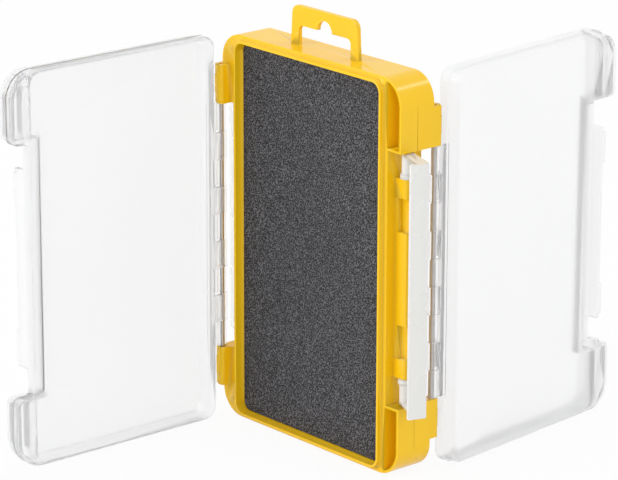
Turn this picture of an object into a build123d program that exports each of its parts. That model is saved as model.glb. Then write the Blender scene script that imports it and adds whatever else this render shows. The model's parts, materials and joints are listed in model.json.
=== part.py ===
from build123d import *
from math import cos, radians, sin
import os

# Tackle box with two see-through lids, one on each side of a moulded tray.
# X runs across the width, Y from front to rear and Z up. The origin is at the middle of
# the base, and the box is the same again when it is turned half round about Z.

# Tray, wings and walls
height = 175.0
width = 115.0
frame_depth = 18.8
wing_width = 8.3
wing_gap = 112.2
corner_radius = 12.0
side_ledge = 1.9
end_ledge = 1.8
lip_thickness = 1.2
lip_height = 2.5
inner_radius = 4.3
web_thickness = 2.0
pocket_wall = 1.4
pocket_floor = 1.6
parting_groove = 0.25
edge_round = 0.4

# Foam pads
foam_setback = 4.5
foam_clearance = 0.3

# Hinge pins and the lugs that hold them
pin_diameter = 2.0
pin_edge = 2.4
pin_standoff = 2.6
pin_press_clearance = 0.02
pin_running_clearance = 0.09
pin_end_chamfer = 0.3
lug_length = 17.4
lug_width = 5.5
lug_reach = 5.1
lug_round = 1.6
lug_floor = 2.0
lug_notch_height = 4.6
lug_notch_width = 2.1
lug_notch_depth = 1.0

# Lids
lid_wall = 1.3
lid_seat_gap = 0.1
lid_depth = 10.8
flange_depth = 4.5
body_inset = 1.0
lid_hinge_radius = 5.6
lid_edge_round = 1.5
shoulder_width = 7.8
shoulder_slope = 4.2
shoulder_radius = 1.2
wing_end_radius = 3.2
notch_radius = 2.0
hollow_end_radius = 1.0
catch_bar_length = 88.0
catch_bar_reach = 0.8
catch_bar_thickness = 2.0
catch_pad_length = 14.0
catch_pad_margin = 2.0
catch_pad_rise = 1.2
knuckle_count = 9
knuckle_wall = 1.2
knuckle_gap = 0.25
rail_end_gap = 0.35

# Latches and the bars that they turn on
latch_end_gap = 0.6
latch_inset = 0.7
pivot_edge = 2.8
pivot_depth = 6.5
latch_wall = 1.5
latch_flange = 8.5
latch_seat_gap = 0.2
latch_corner_round = 1.3
latch_root_gap = 1.5
latch_root_overlap = 1.0
bead_width = 0.8
bead_height = 0.4
bead_clearance = 0.2
hub_radius = 2.5
hub_collar_radius = 3.1
hub_collar_length = 2.0
stub_radius = 1.4
stub_length = 3.5
stub_clearance = 0.06
latch_side_gap = 0.3
ear_thickness = 1.6
mount_thickness = 4.2
mount_end_block = 8.5
mount_step = 0.4
mount_window_length = 15.0
mount_window_depth = 2.6
mount_window_wall = 1.9

# Hanger
hanger_height = 17.2
hanger_base_width = 43.2
hanger_top_width = 41.0
hanger_thickness = 2.0
hanger_corner_radius = 3.8
hanger_slot_width = 33.2
hanger_slot_top = 8.6
hanger_slot_radius = 2.4
hanger_bump_radius = 4.7

# How near an edge lies to the face it belongs to
edge_tolerance = 0.01

# Angles of the photographed pose, from closed
front_lid_open = 91.5
rear_lid_open = 84.0
latch_open = 70.0

# Sizes that follow from the ones above
half_width = width / 2
half_depth = frame_depth / 2
mid_height = height / 2
tray_half = half_width - wing_width
lip_half = tray_half - side_ledge
inner_half = lip_half - lip_thickness
lip_end = end_ledge
inner_end = lip_end + lip_thickness
lip_face = half_depth + lip_height
gap_bottom = (height - wing_gap) / 2
gap_top = height - gap_bottom
pin_radius = pin_diameter / 2
pin_x = half_width - pin_edge
pin_y = half_depth + pin_standoff
pivot_x = half_width - pivot_edge
pivot_y = half_depth - pivot_depth
mount_bottom = mid_height - catch_bar_length / 2
mount_top = mid_height + catch_bar_length / 2


def turned_plane(x, y, z, angle):
    """A level plane at a point, turned about Z."""
    turn = radians(angle)
    return Plane(origin=(x, y, z), x_dir=(cos(turn), sin(turn), 0), z_dir=(0, 0, 1))


def upright_plane(x, y, angle):
    """An upright plane through a point: its X is level and its normal is outward."""
    turn = radians(angle)
    return Plane(origin=(x, y, 0), x_dir=(cos(turn), sin(turn), 0), z_dir=(sin(turn), -cos(turn), 0))


# Front and rear faces of the box: the rear one is the front one turned half round
faces = [upright_plane(0, 0, 0), upright_plane(0, 0, 180)]


# Frame: tray, web, wings, hinge lugs, latch bars and hanger in one moulding
with BuildPart() as frame:
    with BuildSketch(Plane.XZ):
        with Locations((0, mid_height)):
            RectangleRounded(width, height, corner_radius)
        with Locations((-half_width, mid_height), (half_width, mid_height)):
            Rectangle(2 * wing_width, wing_gap, mode=Mode.SUBTRACT)
    extrude(amount=half_depth, both=True)
    outline_edges = frame.edges().group_by(Axis.Y)[0] + frame.edges().group_by(Axis.Y)[-1]
    fillet(outline_edges, radius=edge_round)

    # Lip round the compartment on both faces
    with BuildSketch(Plane.XZ):
        with Locations((0, mid_height)):
            RectangleRounded(2 * lip_half, height - 2 * lip_end, inner_radius + lip_thickness)
    extrude(amount=lip_face, both=True)

    # Hanger, a thin plate at mid depth
    with BuildSketch(Plane.XZ):
        with BuildLine():
            Polyline(
                (-hanger_base_width / 2, height - end_ledge),
                (-hanger_top_width / 2, height + hanger_height),
                (hanger_top_width / 2, height + hanger_height),
                (hanger_base_width / 2, height - end_ledge),
                close=True,
            )
        make_face()
        top_corners = vertices().group_by(Axis.Y)[-1]
        fillet(top_corners, radius=hanger_corner_radius)
        with Locations((0, height + hanger_slot_top)):
            Circle(hanger_bump_radius, mode=Mode.SUBTRACT)
    extrude(amount=hanger_thickness / 2, both=True)
    with BuildSketch(Plane.XZ):
        with Locations((0, height)):
            Rectangle(hanger_slot_width, hanger_slot_top, align=(Align.CENTER, Align.MIN))
        slot_corners = vertices().group_by(Axis.Y)[-1]
        fillet(slot_corners, radius=hanger_slot_radius)
    extrude(amount=hanger_thickness, both=True, mode=Mode.SUBTRACT)

    for face in faces:
        # Compartment, down to the web that carries the foam
        with BuildSketch(face.offset(web_thickness / 2)):
            with Locations((0, mid_height)):
                RectangleRounded(2 * inner_half, height - 2 * inner_end, inner_radius)
        extrude(amount=lip_face, mode=Mode.SUBTRACT)

        # Open pockets in the two wings under the latch side of this face's lid
        with BuildSketch(face.offset(pocket_floor - half_depth)):
            with Locations((0, mid_height)):
                RectangleRounded(
                    width - 2 * pocket_wall, height - 2 * pocket_wall, corner_radius - pocket_wall
                )
            with Locations((0, mid_height)):
                Rectangle(width, wing_gap + 2 * pocket_wall, mode=Mode.SUBTRACT)
            with Locations((tray_half, mid_height)):
                Rectangle(width, height, align=(Align.MAX, Align.CENTER), mode=Mode.SUBTRACT)
        extrude(amount=frame_depth, mode=Mode.SUBTRACT)

        # Hinge lugs on the other two wings
        for lug_bottom in (gap_bottom - lug_length, gap_top):
            with BuildSketch(face.offset(half_depth - pocket_floor)):
                with Locations((-half_width, lug_bottom)):
                    Rectangle(lug_width, lug_length, align=(Align.MIN, Align.MIN))
            extrude(amount=pocket_floor + lug_reach)
    lug_face = half_depth + lug_reach
    lug_edges = frame.edges().filter_by(Axis.Z).filter_by(
        lambda edge: abs(edge.center().Y) > lug_face - edge_tolerance
    )
    fillet(lug_edges, radius=lug_round)

    for face in faces:
        # Notches at both ends of each lug, on its outer half
        notch_lows = (gap_bottom - lug_length, gap_bottom - lug_notch_height)
        notch_highs = (gap_top, gap_top + lug_length - lug_notch_height)
        with BuildSketch(face.offset(lug_face)):
            for low in notch_lows + notch_highs:
                with Locations((-half_width, low)):
                    Rectangle(lug_notch_width, lug_notch_height, align=(Align.MIN, Align.MIN))
        extrude(amount=-lug_notch_depth, mode=Mode.SUBTRACT)

        # Latch bar in the side recess, with its rounded edge outward
        pivot = face.from_local_coords((pivot_x, 0, pivot_y))
        mount_plane = Plane(origin=(pivot.X, pivot.Y, mount_bottom), x_dir=face.x_dir, z_dir=(0, 0, 1))
        half_bar = mount_thickness / 2
        wall_side = tray_half - 1 - pivot_x
        with BuildSketch(mount_plane):
            Circle(half_bar)
            with Locations((wall_side, 0)):
                Rectangle(-wall_side, mount_thickness, align=(Align.MIN, Align.CENTER))
        extrude(amount=catch_bar_length)

        # The bar's middle is a little slimmer than its end blocks, with two windows
        with BuildSketch(face.offset(pivot_y + half_bar)):
            with Locations((tray_half, mid_height)):
                Rectangle(
                    2 * wing_width, catch_bar_length - 2 * mount_end_block, align=(Align.MIN, Align.CENTER)
                )
        extrude(amount=-mount_step, mode=Mode.SUBTRACT)
        window_shift = catch_bar_length / 2 - mount_end_block - mount_window_length / 2
        with BuildSketch(face.offset(pivot_y + half_bar)):
            with Locations(
                (tray_half + mount_window_wall, mid_height - window_shift),
                (tray_half + mount_window_wall, mid_height + window_shift),
            ):
                Rectangle(2 * wing_width, mount_window_length, align=(Align.MIN, Align.CENTER))
        extrude(amount=-mount_window_depth, mode=Mode.SUBTRACT)

        # Blind holes for the latch stubs
        hole_depth = stub_length + latch_side_gap
        for bottom in (mount_bottom, mount_top - hole_depth):
            with BuildSketch(Plane(origin=(pivot.X, pivot.Y, bottom), z_dir=(0, 0, 1))):
                Circle(stub_radius + stub_clearance)
            extrude(amount=hole_depth, mode=Mode.SUBTRACT)

        # Pin hole: blind in the lower lug and open at the top of the upper one
        pin_axis = face.from_local_coords((-pin_x, 0, pin_y))
        hole_bottom = gap_bottom - lug_length + lug_floor
        with BuildSketch(Plane(origin=(pin_axis.X, pin_axis.Y, hole_bottom), z_dir=(0, 0, 1))):
            Circle(pin_radius + pin_press_clearance)
        extrude(amount=gap_top + lug_length - hole_bottom, mode=Mode.SUBTRACT)

        # Fine groove along the moulding's parting line, on the wings' outer faces
        side = Plane(origin=face.from_local_coords((half_width, 0, 0)), x_dir=(0, 0, 1), z_dir=face.x_dir)
        groove_length = gap_bottom - corner_radius
        with BuildSketch(side):
            with Locations((gap_bottom - groove_length / 2, 0), (gap_top + groove_length / 2, 0)):
                Rectangle(groove_length, parting_groove)
        extrude(amount=-parting_groove, mode=Mode.SUBTRACT)

    # Softened rim of the lip
    lip_edges = frame.edges().filter_by(
        lambda edge: abs(abs(edge.center().Y) - lip_face) < edge_tolerance
    )
    fillet(lip_edges, radius=edge_round)
frame.part.label = "frame"


# Foam pads, one on each side of the web
def make_foam_pad(face):
    foam_base = web_thickness / 2 + foam_clearance
    with BuildPart() as pad:
        with BuildSketch(face.offset(foam_base)):
            with Locations((0, mid_height)):
                RectangleRounded(
                    2 * (inner_half - foam_clearance),
                    height - 2 * (inner_end + foam_clearance),
                    inner_radius - foam_clearance,
                )
        extrude(amount=lip_face - foam_setback - foam_base)
        fillet(pad.faces().sort_by(Axis(face.origin, face.z_dir))[-1].edges(), radius=edge_round)
    return pad


front_foam_pad = make_foam_pad(faces[0])
front_foam_pad.part.label = "front_foam_pad"
rear_foam_pad = make_foam_pad(faces[1])
rear_foam_pad.part.label = "rear_foam_pad"


# Hinge pins
def make_pin(face):
    pin_axis = face.from_local_coords((-pin_x, 0, pin_y))
    pin_bottom = gap_bottom - lug_length + lug_floor
    pin_length = gap_top + lug_length - lug_floor / 2 - pin_bottom
    with BuildPart() as pin:
        with BuildSketch(Plane(origin=(pin_axis.X, pin_axis.Y, pin_bottom), z_dir=(0, 0, 1))):
            Circle(pin_radius)
        extrude(amount=pin_length)
        chamfer(pin.edges().filter_by(GeomType.CIRCLE), length=pin_end_chamfer)
    return pin


front_hinge_pin = make_pin(faces[0])
front_hinge_pin.part.label = "front_hinge_pin"
rear_hinge_pin = make_pin(faces[1])
rear_hinge_pin.part.label = "rear_hinge_pin"


# Lids: in a lid's own plane X runs from the pin towards the latch side, Y is up and the
# normal points out of the closed box. The pin's axis is at X = 0 on the plane.
hinge_edge = pin_x - tray_half
latch_edge = pin_x + half_width
shoulder_edge = pin_x + tray_half
rim_level = lid_seat_gap - pin_standoff
flange_level = rim_level + flange_depth
panel_level = rim_level + lid_depth
knuckle_inner = pin_radius + pin_running_clearance
knuckle_outer = knuckle_inner + knuckle_wall
arm_offset = knuckle_outer - knuckle_wall / 2
arm_root = hinge_edge + lid_wall / 2
wing_wall_edge = shoulder_edge - lid_wall
body_shoulder = shoulder_edge - shoulder_width
hollow_inset = body_inset + lid_wall
hollow_foot = body_shoulder - lid_wall
hollow_shoulder = hollow_foot - shoulder_slope
bar_edge = shoulder_edge + catch_bar_reach
catch_lip_edge = pin_x + half_width - latch_inset - latch_flange + bead_width + bead_clearance
catch_lip_height = bead_height - latch_seat_gap + bead_clearance


def lid_outline(plane, inset, right, shoulder, rounds, start=0.0):
    """A layer of the lid, drawn in by an inset and kept from a start, with the latch notch.

    The rounds are the radii of its right corners, its wing ends and the notch's corners.
    """
    corner_round, end_round, notch_round = rounds
    left = hinge_edge + inset
    notch_low = gap_bottom - inset
    # Points up to mid height, each with the radius of its corner
    corners = [((left, inset), lid_hinge_radius - inset), ((right, inset), corner_round)]
    if shoulder < right:
        corners.append(((right, notch_low), end_round))
        corners.append(((shoulder, notch_low), notch_round))
    mirrored = [((x, height - y), radius) for (x, y), radius in reversed(corners)]
    points = [point for point, radius in corners + mirrored]
    radii = [radius for point, radius in corners + mirrored]
    with BuildSketch(plane) as outline:
        with BuildLine():
            FilletPolyline(*points, radius=radii, close=True)
        make_face()
        if start > left:
            with Locations((start, mid_height)):
                Rectangle(right - start, height, align=(Align.MIN, Align.CENTER), mode=Mode.INTERSECT)
    return outline.sketch


def section_plane(plane, low):
    """A level plane across a lid at a height: its Y points into the box."""
    return Plane(origin=plane.from_local_coords((0, low, 0)), x_dir=plane.x_dir, z_dir=(0, 0, 1))


def make_lid(hinge_x, hinge_y, angle):
    plane = upright_plane(hinge_x, hinge_y, angle)
    rim = plane.offset(rim_level)
    segment = (wing_gap - 2 * rail_end_gap) / knuckle_count
    with BuildPart() as lid:
        # Outer form: the flange that seats on the tray, then the body inside it
        flange_rounds = (corner_radius, wing_end_radius, notch_radius)
        flange = lid_outline(rim, 0, latch_edge, shoulder_edge, flange_rounds)
        extrude(flange, amount=flange_depth, dir=plane.z_dir)
        body_rounds = (corner_radius - body_inset, wing_end_radius - body_inset, shoulder_radius)
        body = lid_outline(
            plane.offset(rim_level + lid_wall), body_inset, latch_edge - body_inset, body_shoulder, body_rounds
        )
        extrude(body, amount=lid_depth - lid_wall, dir=plane.z_dir)
        panel_edges = lid.faces().sort_by(Axis(plane.origin, plane.z_dir))[-1].outer_wire().edges()
        fillet(panel_edges, radius=lid_edge_round)

        # The body's wall beside the notch slopes from the flange up to the panel
        with BuildSketch(section_plane(plane, gap_bottom - body_inset)):
            with BuildLine():
                Polyline(
                    (body_shoulder, -flange_level),
                    (body_shoulder, -panel_level),
                    (body_shoulder - shoulder_slope, -panel_level),
                    close=True,
                )
            make_face()
        extrude(amount=wing_gap + 2 * body_inset, mode=Mode.SUBTRACT)

        # Main hollow round the tray's lip, as far as the wall beside the wings
        for inset, shoulder, depth in (
            (lid_wall, wing_wall_edge, flange_depth - lid_wall),
            (hollow_inset, hollow_shoulder, lid_depth - lid_wall),
        ):
            hollow_rounds = (inner_radius + lip_thickness, hollow_end_radius, shoulder_radius + lid_wall)
            hollow = lid_outline(rim, inset, wing_wall_edge, shoulder, hollow_rounds)
            extrude(hollow, amount=depth, dir=plane.z_dir, mode=Mode.SUBTRACT)
        with BuildSketch(section_plane(plane, gap_bottom - hollow_inset)):
            with BuildLine():
                Polyline(
                    (hollow_foot, lid_wall - flange_level),
                    (hollow_shoulder, lid_wall - flange_level),
                    (hollow_shoulder, lid_wall - panel_level),
                    close=True,
                )
            make_face()
        extrude(amount=wing_gap + 2 * hollow_inset, mode=Mode.SUBTRACT)

        # Hollows of the two wings, over the tray's pockets
        for inset, shoulder, depth in (
            (lid_wall, wing_wall_edge, flange_depth - lid_wall),
            (hollow_inset, body_shoulder, lid_depth - lid_wall),
        ):
            wing_rounds = (corner_radius - inset, wing_end_radius - inset, notch_radius + lid_wall)
            wings = lid_outline(rim, inset, latch_edge - inset, shoulder, wing_rounds, shoulder_edge)
            extrude(wings, amount=depth, dir=plane.z_dir, mode=Mode.SUBTRACT)

        # Catch bar along the notch, with a raised pad near each end
        with BuildSketch(plane.offset(flange_level - lid_wall)):
            with Locations((bar_edge, mid_height)):
                Rectangle(catch_bar_thickness, catch_bar_length, align=(Align.MAX, Align.CENTER))
        extrude(amount=lid_depth - catch_pad_rise - flange_depth + lid_wall)
        pad_offset = catch_bar_length / 2 - catch_pad_margin - catch_pad_length / 2
        pad_places = [(bar_edge, mid_height - pad_offset), (bar_edge, mid_height + pad_offset)]
        with BuildSketch(plane.offset(panel_level - catch_pad_rise)):
            with Locations(*pad_places):
                Rectangle(catch_bar_thickness, catch_pad_length, align=(Align.MAX, Align.CENTER))
        extrude(amount=catch_pad_rise - catch_lip_height)

        # Lip on each pad that the latch's bead snaps behind
        with BuildSketch(plane.offset(panel_level - catch_lip_height)):
            with Locations(*pad_places):
                Rectangle(bar_edge - catch_lip_edge, catch_pad_length, align=(Align.MAX, Align.CENTER))
        extrude(amount=catch_lip_height)

        # Rail along the knuckles, on the pin's outer side
        with BuildSketch(section_plane(plane, gap_bottom + rail_end_gap)):
            with Locations((knuckle_outer, -arm_offset)):
                Rectangle(arm_root - knuckle_outer, knuckle_wall, align=(Align.MIN, Align.CENTER))
        extrude(amount=wing_gap - 2 * rail_end_gap)

        # Half knuckles that pass the pin on its outer and inner side by turns
        for index in range(knuckle_count):
            low = gap_bottom + rail_end_gap + index * segment
            side = 1 if index % 2 == 0 else -1
            with BuildSketch(section_plane(plane, low + knuckle_gap / 2)):
                Circle(knuckle_outer)
                Circle(knuckle_inner, mode=Mode.SUBTRACT)
                with Locations((0, side * knuckle_outer)):
                    Rectangle(2 * knuckle_outer, 2 * knuckle_outer, mode=Mode.SUBTRACT)
                with Locations((knuckle_inner, -side * arm_offset)):
                    Rectangle(arm_root - knuckle_inner, knuckle_wall, align=(Align.MIN, Align.CENTER))
            extrude(amount=segment - knuckle_gap)
    return lid


front_lid = make_lid(-pin_x, -pin_y, -front_lid_open)
front_lid.part.label = "front_lid"
rear_lid = make_lid(pin_x, pin_y, 180 - rear_lid_open)
rear_lid.part.label = "rear_lid"


# Latches: in a latch's own level plane X points out of the closed side and Y to the back,
# with the pivot at the origin.
arm_outer = pivot_edge - latch_inset
arm_inner = arm_outer - latch_wall
flange_inner = -(half_depth + lid_seat_gap + lid_depth + latch_seat_gap - pivot_y)
flange_outer = flange_inner - latch_wall
latch_bottom = gap_bottom + latch_end_gap
latch_length = wing_gap - 2 * latch_end_gap
hub_length = mount_bottom - latch_side_gap - latch_bottom
hub_top = latch_length - hub_length


def make_latch(pivot_place_x, pivot_place_y, angle):
    def level(rise):
        return turned_plane(pivot_place_x, pivot_place_y, latch_bottom + rise, angle)

    with BuildPart() as latch:
        # Arm and flange along the whole length
        with BuildSketch(level(0)) as section:
            with BuildLine():
                Polyline(
                    (arm_outer, -hub_radius - latch_root_gap),
                    (arm_outer, flange_outer),
                    (arm_outer - latch_flange, flange_outer),
                    (arm_outer - latch_flange, flange_inner + bead_height),
                    (arm_outer - latch_flange + bead_width, flange_inner + bead_height),
                    (arm_outer - latch_flange + bead_width, flange_inner),
                    (arm_inner, flange_inner),
                    (arm_inner, -hub_radius - latch_root_gap),
                    close=True,
                )
            make_face()
        extrude(amount=latch_length)
        corner = latch.edges().filter_by(Axis.Z).sort_by_distance(
            level(latch_length / 2).from_local_coords((arm_outer, flange_outer, 0))
        )[0]
        fillet(corner, radius=latch_corner_round)

        # Hubs beyond the bar's two ends, with their arms, collars and stubs
        for rise, inner_rise, stub_rise in (
            (0, hub_length - hub_collar_length, hub_length),
            (hub_top, hub_top, hub_top - stub_length),
        ):
            with BuildSketch(level(rise)):
                Circle(hub_radius)
                with Locations((arm_inner, 0)):
                    Rectangle(latch_wall, hub_radius + latch_root_gap + latch_root_overlap, align=(Align.MIN, Align.MAX))
            extrude(amount=hub_length)
            with BuildSketch(level(inner_rise)):
                Circle(hub_collar_radius)
            extrude(amount=hub_collar_length)
            with BuildSketch(level(stub_rise)):
                Circle(stub_radius)
            extrude(amount=stub_length)

        # Ear plates that close both ends
        for rise in (0, latch_length - ear_thickness):
            with BuildSketch(level(rise)):
                with BuildLine():
                    Polyline(
                        (-hub_radius, 0),
                        (arm_inner, 0),
                        (arm_inner + latch_wall / 2, -hub_radius),
                        (arm_inner + latch_wall / 2, flange_inner - latch_wall / 2),
                        (-hub_radius, flange_inner - latch_wall / 2),
                        close=True,
                    )
                make_face()
            extrude(amount=ear_thickness)
    return latch


front_latch = make_latch(pivot_x, -pivot_y, latch_open)
front_latch.part.label = "front_latch"
rear_latch = make_latch(-pivot_x, pivot_y, 180 + latch_open)
rear_latch.part.label = "rear_latch"


os.makedirs("parts", exist_ok=True)
export_step(frame.part, "parts/frame.step")
export_step(front_foam_pad.part, "parts/front_foam_pad.step")
export_step(rear_foam_pad.part, "parts/rear_foam_pad.step")
export_step(front_hinge_pin.part, "parts/front_hinge_pin.step")
export_step(rear_hinge_pin.part, "parts/rear_hinge_pin.step")
export_step(front_lid.part, "parts/front_lid.step")
export_step(rear_lid.part, "parts/rear_lid.step")
export_step(front_latch.part, "parts/front_latch.step")
export_step(rear_latch.part, "parts/rear_latch.step")
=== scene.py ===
import json
import math
import bpy
import bmesh
import numpy as np
from mathutils import Matrix, Vector

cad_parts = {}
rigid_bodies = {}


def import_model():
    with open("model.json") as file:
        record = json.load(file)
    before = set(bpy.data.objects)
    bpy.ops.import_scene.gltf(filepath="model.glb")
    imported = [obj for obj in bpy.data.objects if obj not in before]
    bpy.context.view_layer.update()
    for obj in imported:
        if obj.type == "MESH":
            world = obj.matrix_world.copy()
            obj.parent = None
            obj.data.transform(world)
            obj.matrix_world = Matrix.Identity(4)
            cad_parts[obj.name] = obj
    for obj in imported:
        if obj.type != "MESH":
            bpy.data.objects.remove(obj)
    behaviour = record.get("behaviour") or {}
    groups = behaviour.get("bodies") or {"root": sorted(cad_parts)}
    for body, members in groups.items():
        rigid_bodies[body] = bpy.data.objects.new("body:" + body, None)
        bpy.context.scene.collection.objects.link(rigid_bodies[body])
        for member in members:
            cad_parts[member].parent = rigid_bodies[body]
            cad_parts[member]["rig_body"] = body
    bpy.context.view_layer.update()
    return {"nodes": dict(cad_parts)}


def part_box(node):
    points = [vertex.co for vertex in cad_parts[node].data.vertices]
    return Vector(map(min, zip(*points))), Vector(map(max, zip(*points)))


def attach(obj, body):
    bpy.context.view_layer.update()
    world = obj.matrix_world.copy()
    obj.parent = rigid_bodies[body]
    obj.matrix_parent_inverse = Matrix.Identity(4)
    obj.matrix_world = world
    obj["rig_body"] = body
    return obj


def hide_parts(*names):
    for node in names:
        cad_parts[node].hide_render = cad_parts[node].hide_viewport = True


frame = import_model()
print("frame loaded:", len(frame["nodes"]), "nodes")

mm = 0.001
white = (1, 1, 1, 1)


# Shader helpers

def fillSocket(tree, socket, value):
    # A socket takes a link from another node, or a plain number or colour
    if isinstance(value, bpy.types.NodeSocket):
        tree.links.new(value, socket)
    else:
        socket.default_value = value


def addNode(tree, kind, inputs=None, **attributes):
    # inputs: values or links by the socket's name or number
    node = tree.nodes.new(kind)
    for key, value in attributes.items():
        setattr(node, key, value)
    for key, value in (inputs or {}).items():
        fillSocket(tree, node.inputs[key], value)
    return node


def addMath(tree, operation, *values, clamp=False):
    inputs = dict(enumerate(values))
    return addNode(tree, "ShaderNodeMath", inputs, operation=operation, use_clamp=clamp).outputs[0]


def mixColour(tree, share, first, second):
    # The Mix node keeps its colours in sockets 6 and 7 and gives them in output 2
    return addNode(tree, "ShaderNodeMix", {0: share, 6: first, 7: second}, data_type="RGBA").outputs[2]


def objectPlace(tree):
    return addNode(tree, "ShaderNodeTexCoord").outputs["Object"]


def startGroup(name, inputs, outputs):
    # inputs: number sockets with their defaults; outputs: names of number sockets
    group = bpy.data.node_groups.new(name, "ShaderNodeTree")
    for label, default in inputs.items():
        socket = group.interface.new_socket(name=label, in_out="INPUT", socket_type="NodeSocketFloat")
        socket.default_value = default
    for label in outputs:
        group.interface.new_socket(name=label, in_out="OUTPUT", socket_type="NodeSocketFloat")
    entry = group.nodes.new("NodeGroupInput")
    leave = group.nodes.new("NodeGroupOutput")
    return group, entry.outputs, leave.inputs


def placeGroup(tree, group, inputs):
    node = addNode(tree, "ShaderNodeGroup", node_tree=group)
    for label, value in inputs.items():
        fillSocket(tree, node.inputs[label], value)
    return node.outputs


# Shader groups that several materials share

grainShape = {"waveDetail": 2.0, "waveRoughness": 0.5, "grainDetail": 1.0, "grainRoughness": 0.6}


def makeMouldGrain():
    # Slow waviness of a moulded skin plus a fine grain
    group, entry, leave = startGroup(
        "mouldGrain", {"Wave Scale": 45.0, "Grain Scale": 1800.0, "Grain Share": 0.35}, ["Height", "Shade"])
    place = objectPlace(group)
    wave = addNode(group, "ShaderNodeTexNoise", {
        "Vector": place, "Scale": entry["Wave Scale"],
        "Detail": grainShape["waveDetail"], "Roughness": grainShape["waveRoughness"]}).outputs["Fac"]
    grain = addNode(group, "ShaderNodeTexNoise", {
        "Vector": place, "Scale": entry["Grain Scale"],
        "Detail": grainShape["grainDetail"], "Roughness": grainShape["grainRoughness"]}).outputs["Fac"]
    fine = addMath(group, "MULTIPLY", grain, entry["Grain Share"])
    slow = addMath(group, "MULTIPLY", wave, addMath(group, "SUBTRACT", 1.0, entry["Grain Share"]))
    fillSocket(group, leave["Height"], addMath(group, "ADD", fine, slow))
    fillSocket(group, leave["Shade"], wave)
    return group


# How the painted edge highlight is found: bevel samples, gain and patch size
edgeHighlightShape = {"samples": 6, "gain": 5.0, "patchScale": 320.0}


def makePaintedEdgeHighlight():
    # A painted highlight along the edges: an edge is near where the bevelled normal leaves the face's own,
    # and patches break it up
    group, entry, leave = startGroup("edgeWear", {"Radius": 0.4 * mm, "Patchiness": 0.4}, ["Mask"])
    softened = addNode(group, "ShaderNodeBevel", {"Radius": entry["Radius"]}, samples=edgeHighlightShape["samples"])
    plain = addNode(group, "ShaderNodeNewGeometry")
    alike = addNode(group, "ShaderNodeVectorMath", {
        0: softened.outputs["Normal"], 1: plain.outputs["Normal"]}, operation="DOT_PRODUCT")
    away = addMath(group, "SUBTRACT", 1.0, alike.outputs["Value"])
    edge = addMath(group, "MULTIPLY", away, edgeHighlightShape["gain"], clamp=True)
    patches = addNode(group, "ShaderNodeTexNoise", {
        "Vector": objectPlace(group), "Scale": edgeHighlightShape["patchScale"]}).outputs["Fac"]
    highlightGaps = addMath(group, "MULTIPLY", edge, addMath(group, "MULTIPLY", patches, entry["Patchiness"]))
    fillSocket(group, leave["Mask"], addMath(group, "SUBTRACT", edge, highlightGaps))
    return group


dustShape = {"upShare": 0.6, "sideShare": 0.5, "detail": 6.0, "roughness": 0.7}


def makeDustFilm():
    # A light film, thicker on what faces up, broken up by noise
    group, entry, leave = startGroup("dustFilm", {"Amount": 0.1, "Scale": 130.0}, ["Mask"])
    faces = addNode(group, "ShaderNodeNewGeometry")
    up = addNode(group, "ShaderNodeSeparateXYZ", {0: faces.outputs["Normal"]}).outputs["Z"]
    upward = addMath(group, "MULTIPLY_ADD", up, dustShape["upShare"], dustShape["sideShare"], clamp=True)
    specks = addNode(group, "ShaderNodeTexNoise", {
        "Vector": objectPlace(group), "Scale": entry["Scale"],
        "Detail": dustShape["detail"], "Roughness": dustShape["roughness"]}).outputs["Fac"]
    broken = addMath(group, "MULTIPLY", upward, specks)
    fillSocket(group, leave["Mask"], addMath(group, "MULTIPLY", broken, entry["Amount"]))
    return group


mouldGrain = makeMouldGrain()
edgeWear = makePaintedEdgeHighlight()
dustFilm = makeDustFilm()
print("shader groups made")


# Materials

def newMaterial(name):
    material = bpy.data.materials.new(name)
    material.use_nodes = True
    tree = material.node_tree
    return material, tree, tree.nodes["Principled BSDF"].inputs


def placeGrain(tree, look):
    return placeGroup(tree, mouldGrain, {
        "Wave Scale": look["waveScale"],
        "Grain Scale": look["grainScale"],
        "Grain Share": look["grainShare"]})


def placePaintedHighlight(tree, look):
    # Mask of the painted edge highlight, scaled by its share
    highlightMask = placeGroup(tree, edgeWear, {"Radius": look["highlightRadius"], "Patchiness": look["highlightPatchiness"]})
    return addMath(tree, "MULTIPLY", highlightMask["Mask"], look["highlightShare"])


def setRoughness(tree, shader, look, pattern, dust=None):
    # The look's own roughness, plus its spread over a pattern, plus the dust
    rough = addMath(tree, "MULTIPLY_ADD", pattern, look["roughSpread"], look["roughness"])
    if dust is not None:
        rough = addMath(tree, "ADD", rough, dust)
    fillSocket(tree, shader["Roughness"], rough)


def setRelief(tree, shader, look, height):
    bump = addNode(tree, "ShaderNodeBump", {
        "Height": height, "Strength": look["relief"], "Distance": look["reliefDepth"]})
    fillSocket(tree, shader["Normal"], bump.outputs["Normal"])


yellowLook = {
    "face": (0.94, 0.58, 0.001, 1),
    "deep": (0.91, 0.54, 0.0005, 1),
    # lighter colour painted along the edges as a painted highlight
    "edge": (0.98, 0.74, 0.08, 1),
    "dust": (0.92, 0.78, 0.45, 1),
    "waveScale": 38.0,
    "grainScale": 1500.0,
    "grainShare": 0.2,
    # width, patchiness and strength of the painted edge highlight
    "highlightRadius": 0.45 * mm,
    "highlightPatchiness": 0.4,
    "highlightShare": 0.55,
    "dustAmount": 0.05,
    "roughness": 0.18,
    "roughSpread": 0.08,
    "relief": 0.05,
    "reliefDepth": 0.6 * mm,
    "ior": 1.5,
    "specular": 0.38,
}


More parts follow.
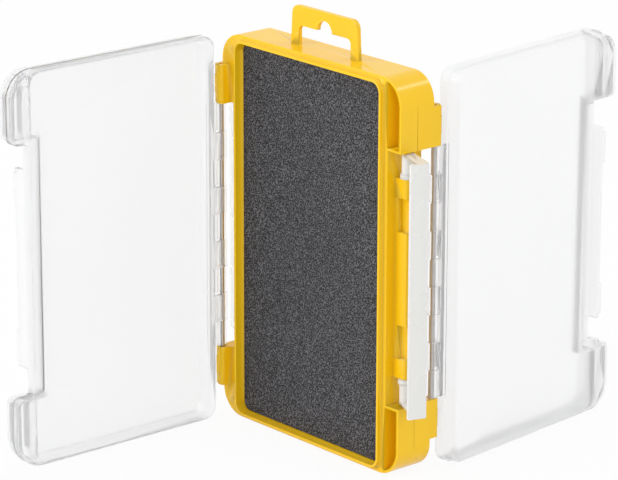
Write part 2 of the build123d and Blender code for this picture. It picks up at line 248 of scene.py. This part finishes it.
def makeYellowPlastic():
    look = yellowLook
    material, tree, shader = newMaterial("yellowPlastic")
    grain = placeGrain(tree, look)
    dust = placeGroup(tree, dustFilm, {"Amount": look["dustAmount"]})["Mask"]
    body = mixColour(tree, grain["Shade"], look["deep"], look["face"])
    # The edges are painted lighter: a painted highlight
    edged = mixColour(tree, placePaintedHighlight(tree, look), body, look["edge"])
    fillSocket(tree, shader["Base Color"], mixColour(tree, dust, edged, look["dust"]))
    setRoughness(tree, shader, look, grain["Shade"], dust)
    setRelief(tree, shader, look, grain["Height"])
    shader["IOR"].default_value = look["ior"]
    shader["Specular IOR Level"].default_value = look["specular"]
    return material


clearLook = {
    "tint": (0.988, 0.988, 0.991, 1),
    "cloud": (0.965, 0.967, 0.973, 1),
    "waveScale": 22.0,
    "grainScale": 900.0,
    "grainShare": 0.1,
    "dustAmount": 0.05,
    "roughness": 0.28,
    "roughSpread": 0.05,
    "relief": 0.03,
    "reliefDepth": 0.6 * mm,
    "ior": 1.12,              # below the plastic's own, so that thick edges stay light
    "through": 0.90,
}


def makeClearPlastic():
    look = clearLook
    material, tree, shader = newMaterial("clearPlastic")
    grain = placeGrain(tree, look)
    dust = placeGroup(tree, dustFilm, {"Amount": look["dustAmount"]})["Mask"]
    fillSocket(tree, shader["Base Color"], mixColour(tree, grain["Shade"], look["cloud"], look["tint"]))
    setRoughness(tree, shader, look, grain["Shade"], dust)
    setRelief(tree, shader, look, grain["Height"])
    shader["IOR"].default_value = look["ior"]
    shader["Transmission Weight"].default_value = look["through"]
    return material


milkyLook = {
    "face": (0.92, 0.92, 0.90, 1),
    "deep": (0.89, 0.89, 0.87, 1),
    # lighter colour painted along the edges as a painted highlight
    "edge": (0.93, 0.93, 0.92, 1),
    "waveScale": 60.0,
    "grainScale": 1600.0,
    "grainShare": 0.3,
    # width, patchiness and strength of the painted edge highlight
    "highlightRadius": 0.4 * mm,
    "highlightPatchiness": 0.2,
    "highlightShare": 0.6,
    "roughness": 0.23,
    "roughSpread": 0.1,
    "relief": 0.025,
    "reliefDepth": 0.5 * mm,
    "ior": 1.46,
    "through": 0.15,
}


def makeMilkyPlastic():
    look = milkyLook
    material, tree, shader = newMaterial("milkyPlastic")
    grain = placeGrain(tree, look)
    body = mixColour(tree, grain["Shade"], look["deep"], look["face"])
    # The edges are painted lighter: a painted highlight
    fillSocket(tree, shader["Base Color"], mixColour(tree, placePaintedHighlight(tree, look), body, look["edge"]))
    setRoughness(tree, shader, look, grain["Shade"])
    setRelief(tree, shader, look, grain["Height"])
    shader["IOR"].default_value = look["ior"]
    shader["Transmission Weight"].default_value = look["through"]
    return material


foamLook = {
    "shades": [
        # how far up the cell walls, colour
        (0.38, (0.004, 0.004, 0.005, 1)),
        (0.62, (0.0075, 0.0074, 0.0083, 1)),
        (0.98, (0.17, 0.167, 0.18, 1)),
    ],
    "slowShade": (0.0075, 0.0074, 0.0083, 1),
    "slowScale": 60.0,
    "slowDetail": 3.0,
    "slowShare": 0.25,
    "cellScale": 1700.0,
    "cellShare": 0.9,
    "speckScale": 2300.0,
    "speckRoughness": 0.6,
    "speckShare": 0.55,
    "roughness": 0.77,
    "roughSpread": 0.15,
    "relief": 0.5,
    "reliefDepth": 0.3 * mm,
    "specular": 0.2,
    "sheen": 0.05,
    "sheenRoughness": 0.6,
}


def makeFoamRubber():
    # Cell walls are the distance from each cell's middle plus fine specks
    look = foamLook
    material, tree, shader = newMaterial("foamRubber")
    place = objectPlace(tree)
    cells = addNode(tree, "ShaderNodeTexVoronoi", {"Vector": place, "Scale": look["cellScale"]})
    specks = addNode(tree, "ShaderNodeTexNoise", {
        "Vector": place, "Scale": look["speckScale"], "Roughness": look["speckRoughness"]}).outputs["Fac"]
    slow = addNode(tree, "ShaderNodeTexNoise", {
        "Vector": place, "Scale": look["slowScale"], "Detail": look["slowDetail"]}).outputs["Fac"]
    speckPart = addMath(tree, "MULTIPLY", specks, look["speckShare"])
    wall = addMath(tree, "MULTIPLY_ADD", cells.outputs["Distance"], look["cellShare"], speckPart)
    ramp = addNode(tree, "ShaderNodeValToRGB", {"Fac": wall})
    lowest, middle, highest = look["shades"]
    stops = ramp.color_ramp.elements
    stops[0].position, stops[0].color = lowest
    stops[1].position, stops[1].color = highest
    stops.new(middle[0]).color = middle[1]
    slowPart = addMath(tree, "MULTIPLY", slow, look["slowShare"])
    fillSocket(tree, shader["Base Color"],
               mixColour(tree, slowPart, ramp.outputs["Color"], look["slowShade"]))
    setRoughness(tree, shader, look, specks)
    setRelief(tree, shader, look, wall)
    shader["Specular IOR Level"].default_value = look["specular"]
    shader["Sheen Weight"].default_value = look["sheen"]
    shader["Sheen Roughness"].default_value = look["sheenRoughness"]
    return material


steelLook = {
    "bright": (0.62, 0.59, 0.57, 1),
    "dull": (0.42, 0.39, 0.37, 1),
    "stretch": (1.0, 1.0, 0.02),   # drawing lines run along the wire
    "lineScale": 9000.0,
    "lineDetail": 3.0,
    "lineRoughness": 0.6,
    "roughness": 0.18,
    "roughSpread": 0.2,
    "relief": 0.2,
    "reliefDepth": 0.05 * mm,
}


def makeDrawnSteel():
    look = steelLook
    material, tree, shader = newMaterial("drawnSteel")
    stretched = addNode(tree, "ShaderNodeMapping", {"Vector": objectPlace(tree), "Scale": look["stretch"]})
    lines = addNode(tree, "ShaderNodeTexNoise", {
        "Vector": stretched.outputs["Vector"], "Scale": look["lineScale"],
        "Detail": look["lineDetail"], "Roughness": look["lineRoughness"]}).outputs["Fac"]
    fillSocket(tree, shader["Base Color"], mixColour(tree, lines, look["dull"], look["bright"]))
    setRoughness(tree, shader, look, lines)
    setRelief(tree, shader, look, lines)
    shader["Metallic"].default_value = 1.0
    return material


yellowPlastic = makeYellowPlastic()
clearPlastic = makeClearPlastic()
milkyPlastic = makeMilkyPlastic()
foamRubber = makeFoamRubber()
drawnSteel = makeDrawnSteel()
print("materials made")


# Moulded pieces and pins

def addPiece(pieceName, mesh, material):
    mesh.materials.clear()
    mesh.materials.append(material)
    mesh.polygons.foreach_set("use_smooth", np.ones(len(mesh.polygons), bool))
    piece = bpy.data.objects.new(pieceName, mesh)
    bpy.context.scene.collection.objects.link(piece)
    return piece


dressed = {
    "joinDistance": 0.002 * mm,
    "sliverLength": 0.001 * mm,
    "sharpDegrees": 32.0,
    "normalWeight": 80,
    "pieces": [
        # node, piece, material, slot
        ("frame", "yellowFrame", yellowPlastic, "frame_plastic"),
        ("front_lid", "clearFrontLid", clearPlastic, "clear_plastic"),
        ("rear_lid", "clearRearLid", clearPlastic, "clear_plastic"),
        ("front_latch", "milkyFrontLatch", milkyPlastic, "latch_plastic"),
        ("rear_latch", "milkyRearLatch", milkyPlastic, "latch_plastic"),
        ("front_hinge_pin", "frontHingeWire", drawnSteel, "pin_steel"),
        ("rear_hinge_pin", "rearHingeWire", drawnSteel, "pin_steel"),
    ],
}


def mergedCopy(nodeName, pieceName, material, slotName):
    # The node's own surface with its loose triangles joined and its curves shaded smooth
    mesh = frame["nodes"][nodeName].data.copy()
    mesh.name = pieceName
    work = bmesh.new()
    work.from_mesh(mesh)
    bmesh.ops.remove_doubles(work, verts=work.verts, dist=dressed["joinDistance"])
    bmesh.ops.dissolve_degenerate(work, edges=work.edges, dist=dressed["sliverLength"])
    work.to_mesh(mesh)
    work.free()
    piece = addPiece(pieceName, mesh, material)
    mesh.set_sharp_from_angle(angle=math.radians(dressed["sharpDegrees"]))
    even = piece.modifiers.new("evenNormals", "WEIGHTED_NORMAL")
    even.keep_sharp = True
    even.weight = dressed["normalWeight"]
    body = frame["nodes"][nodeName]["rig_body"]
    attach(piece, body)
    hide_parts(nodeName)


for dressing in dressed["pieces"]:
    mergedCopy(*dressing)
print("moulded pieces and pins dressed")


# Foam pads

foamPad = {
    "columns": 150,
    "rows": 270,
    "margin": 0.06 * mm,        # inside the plain pad's box on every side
    "cornerRadius": 4.0 * mm,
    "broadHeight": 0.10 * mm,
    "broadBlur": 26,            # in grid steps
    "cellHeight": 0.05 * mm,
    "cellBlur": 0.8,
    "seed": 11,
    "rimRise": 40,              # the relief is full at a 40th of the way in from the rim
    "edgeRound": 0.5 * mm,
    "edgeSegments": 3,
    "edgeDegrees": 60,
}


def smoothNoise(shape, blur, seed):
    # Seeded random numbers blurred by a Gaussian in frequency space, scaled to -1..1
    values = np.random.default_rng(seed).standard_normal(shape)
    rows = np.fft.fftfreq(shape[0])[:, None] * blur
    columns = np.fft.fftfreq(shape[1])[None, :] * blur
    kept = np.exp(-2 * math.pi ** 2 * (rows ** 2 + columns ** 2))
    blurred = np.real(np.fft.ifft2(np.fft.fft2(values) * kept))
    return blurred / np.abs(blurred).max()


def roundCorners(x, z, halfX, halfZ, radius):
    # In the corners the unit square (a, b) is carried onto a quarter disc:
    # a sqrt(1 - b^2 / 2) and b sqrt(1 - a^2 / 2)
    a = np.clip((np.abs(x) - (halfX - radius)) / radius, 0, 1)
    b = np.clip((np.abs(z) - (halfZ - radius)) / radius, 0, 1)
    inCorner = (a > 0) & (b > 0)
    roundX = np.sign(x) * (halfX - radius + radius * a * np.sqrt(1 - b ** 2 / 2))
    roundZ = np.sign(z) * (halfZ - radius + radius * b * np.sqrt(1 - a ** 2 / 2))
    return np.where(inCorner, roundX, x), np.where(inCorner, roundZ, z)


def gridFaces(rows, columns):
    corner = (np.arange(rows - 1)[:, None] * columns + np.arange(columns - 1)[None, :]).ravel()
    return np.stack([corner, corner + 1, corner + columns + 1, corner + columns], axis=-1)


def makeFoamPad(nodeName, pieceName, outward):
    # A rectangle's grid (u, v) from -1 to 1, with round corners. Its height is the face's own
    # level less broad waves and open cells, and the relief fades out at the rim.
    pad = foamPad
    low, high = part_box(nodeName)
    halfX = (high.x - low.x) / 2 - pad["margin"]
    halfZ = (high.z - low.z) / 2 - pad["margin"]
    u, v = np.meshgrid(np.linspace(-1, 1, pad["columns"]), np.linspace(-1, 1, pad["rows"]))
    x, z = roundCorners(u * halfX, v * halfZ, halfX, halfZ, pad["cornerRadius"])
    broad = smoothNoise(u.shape, pad["broadBlur"], pad["seed"]) * pad["broadHeight"]
    cells = smoothNoise(u.shape, pad["cellBlur"], pad["seed"] + 1) * pad["cellHeight"]
    inner = np.clip((1 - np.maximum(np.abs(u), np.abs(v))) * pad["rimRise"], 0, 1)
    sink = (pad["broadHeight"] + pad["cellHeight"] + broad + cells) * inner
    face = high.y if outward > 0 else low.y
    y = face - outward * (pad["margin"] + sink)
    points = np.stack([(high.x + low.x) / 2 + x, y, (high.z + low.z) / 2 + z], axis=-1).reshape(-1, 3)
    quads = gridFaces(pad["rows"], pad["columns"])
    if outward > 0:
        quads = quads[:, ::-1]
    mesh = bpy.data.meshes.new(pieceName)
    mesh.from_pydata(points.tolist(), [], quads.tolist())
    piece = addPiece(pieceName, mesh, foamRubber)
    thick = piece.modifiers.new("thickness", "SOLIDIFY")
    thick.thickness = (high.y - low.y) - 2 * (pad["margin"] + pad["broadHeight"])
    thick.offset = -1
    rim = piece.modifiers.new("rim", "BEVEL")
    rim.width = pad["edgeRound"]
    rim.segments = pad["edgeSegments"]
    rim.limit_method = "ANGLE"
    rim.angle_limit = math.radians(pad["edgeDegrees"])
    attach(piece, "frame")
    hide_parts(nodeName)


makeFoamPad("front_foam_pad", "frontFoam", -1)
makeFoamPad("rear_foam_pad", "rearFoam", 1)
print("foam pads made")


# Studio

studio = {
    "skyForObject": 0.92,       # strength of the white surroundings on the object
    "skyForCamera": 1.0,
    "floorSize": 6.0,
    "floorDrop": 0.4 * mm,
    "floorColour": (0.86, 0.86, 0.86, 1),
    "floorRoughness": 0.7,
    "floorSpecular": 0.2,
    "floorGlow": 0.93,          # share of plain white that the camera sees in the floor
    "lamps": [
        # name, place, size, watts, aims at
        ("keyLamp", (0.55, 1.0, 1.25), 0.16, 1.6, (0.05, 0.0, 0.16)),
        ("leftLamp", (-0.9, -2.1, 0.8), 1.2, 18.0, (0, 0, 0.09)),
        ("rightLamp", (1.9, -0.7, 0.8), 1.0, 3.0, (0, 0, 0.09)),
    ],
}


def whiteForCamera(tree, plain, glow, share):
    # Camera, glossy and transmission rays see the glow, and the rest see the plain shader
    path = addNode(tree, "ShaderNodeLightPath").outputs
    seen = addMath(tree, "MAXIMUM", path["Is Camera Ray"], path["Is Glossy Ray"])
    seen = addMath(tree, "MAXIMUM", seen, path["Is Transmission Ray"])
    factor = addMath(tree, "MULTIPLY", seen, share)
    return addNode(tree, "ShaderNodeMixShader", {0: factor, 1: plain, 2: glow}).outputs[0]


def makeSurroundings():
    world = bpy.data.worlds.new("whiteRoom")
    bpy.context.scene.world = world
    world.use_nodes = True
    tree = world.node_tree
    tree.nodes.clear()
    forObject, forCamera = (
        addNode(tree, "ShaderNodeBackground", {"Color": white, "Strength": studio[key]}).outputs[0]
        for key in ("skyForObject", "skyForCamera"))
    addNode(tree, "ShaderNodeOutputWorld", {"Surface": whiteForCamera(tree, forObject, forCamera, 1.0)})


def makeFloor():
    half = studio["floorSize"] / 2
    drop = -studio["floorDrop"]
    mesh = bpy.data.meshes.new("paleFloor")
    mesh.from_pydata([(-half, -half, drop), (half, -half, drop), (half, half, drop), (-half, half, drop)],
                     [], [(0, 1, 2, 3)])
    floor = bpy.data.objects.new("paleFloor", mesh)
    bpy.context.scene.collection.objects.link(floor)
    material, tree, shader = newMaterial("paleFloor")
    shader["Base Color"].default_value = studio["floorColour"]
    shader["Roughness"].default_value = studio["floorRoughness"]
    shader["Specular IOR Level"].default_value = studio["floorSpecular"]
    plain = tree.nodes["Principled BSDF"].outputs["BSDF"]
    glow = addNode(tree, "ShaderNodeEmission", {"Color": white, "Strength": 1.0}).outputs["Emission"]
    fillSocket(tree, tree.nodes["Material Output"].inputs["Surface"],
               whiteForCamera(tree, plain, glow, studio["floorGlow"]))
    mesh.materials.append(material)


def makeLamp(name, place, size, watts, aim):
    lamp = bpy.data.lights.new(name, "AREA")
    lamp.energy = watts
    lamp.size = size
    holder = bpy.data.objects.new(name, lamp)
    holder.location = place
    holder.rotation_euler = (Vector(aim) - Vector(place)).to_track_quat("-Z", "Y").to_euler()
    bpy.context.scene.collection.objects.link(holder)


makeSurroundings()
makeFloor()
for lampRow in studio["lamps"]:
    makeLamp(*lampRow)
print("studio set")


# Camera

photo = {
    "width": 618,               # pixels
    "focal": 3561.0,            # pixels
    "yaw": 48.79,               # degrees, as are pitch and roll
    "pitch": 17.41,
    "roll": 0.15,
    "across": 6.79 * mm,        # where the origin lies, seen from the camera
    "up": -87.12 * mm,
    "away": 1560.95 * mm,
    "sensor": 36.0,
}


def makeCamera():
    yaw, pitch, roll = (math.radians(photo[key]) for key in ("yaw", "pitch", "roll"))
    ahead = Vector((-math.sin(yaw) * math.cos(pitch), math.cos(yaw) * math.cos(pitch), -math.sin(pitch)))
    level = Vector((math.cos(yaw), math.sin(yaw), 0))
    upright = level.cross(ahead)
    right = level * math.cos(roll) + upright * math.sin(roll)
    up = upright * math.cos(roll) - level * math.sin(roll)
    data = bpy.data.cameras.new("photoCamera")
    data.sensor_fit = "HORIZONTAL"
    data.sensor_width = photo["sensor"]
    data.lens = photo["focal"] / photo["width"] * photo["sensor"]
    camera = bpy.data.objects.new("photoCamera", data)
    bpy.context.scene.collection.objects.link(camera)
    place = -(right * photo["across"] + up * photo["up"] + ahead * photo["away"])
    turn = Matrix((right, up, -ahead)).transposed().to_4x4()
    camera.matrix_world = Matrix.Translation(place) @ turn
    bpy.context.scene.camera = camera


clearBounces = 24                # enough for light to leave the lids' thick edges

makeCamera()
scene = bpy.context.scene
scene.view_settings.view_transform = "Standard"
scene.cycles.max_bounces = clearBounces
scene.cycles.transmission_bounces = clearBounces
scene.cycles.transparent_max_bounces = clearBounces
print("camera set")
